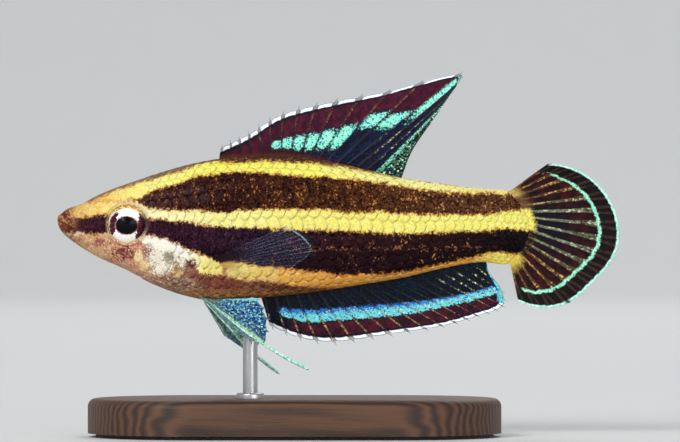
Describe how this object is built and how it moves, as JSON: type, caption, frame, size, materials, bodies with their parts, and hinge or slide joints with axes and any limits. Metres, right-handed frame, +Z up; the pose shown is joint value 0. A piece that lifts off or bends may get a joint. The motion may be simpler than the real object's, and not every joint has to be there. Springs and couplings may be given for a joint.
{
  "type": "licorice gourami",
  "caption": "Life-size licorice gourami with striped flanks and rayed fins spread wide, held level on a slim rod above a flat wooden base, as a museum display model.",
  "frame": {"origin": "on the surface that the stand rests on, below the middle of the whole model", "axes": "the head points to -X and the tail to +X, the fish's left side faces -Y, +Z is up"},
  "size_m": [0.038, 0.015, 0.0246],
  "materials": {
    "skin": "scaled skin with dark brown and golden yellow stripes along the body, softly glossy",
    "fin_membrane": "dark maroon and navy membrane with turquoise bands and a pale blue dashed edge",
    "clear_fin": "clear membrane with pale blue rays",
    "eye": "clear cornea over a silvery iris with a dark maroon bar and a black pupil",
    "walnut": "oiled dark walnut",
    "steel": "satin"
  },
  "bodies": {
    "root": {"head": "skin", "trunk": "skin", "tail": "skin", "eye_left": "eye", "eye_right": "eye", "dorsal_fin": "fin_membrane", "anal_fin": "fin_membrane", "caudal_fin": "fin_membrane", "pectoral_fin_left": "clear_fin", "pectoral_fin_right": "clear_fin", "pelvic_fin_left": "fin_membrane", "pelvic_fin_right": "fin_membrane", "stand_base": "walnut", "stand_rod": "steel"}
  },
  "joints": []
}
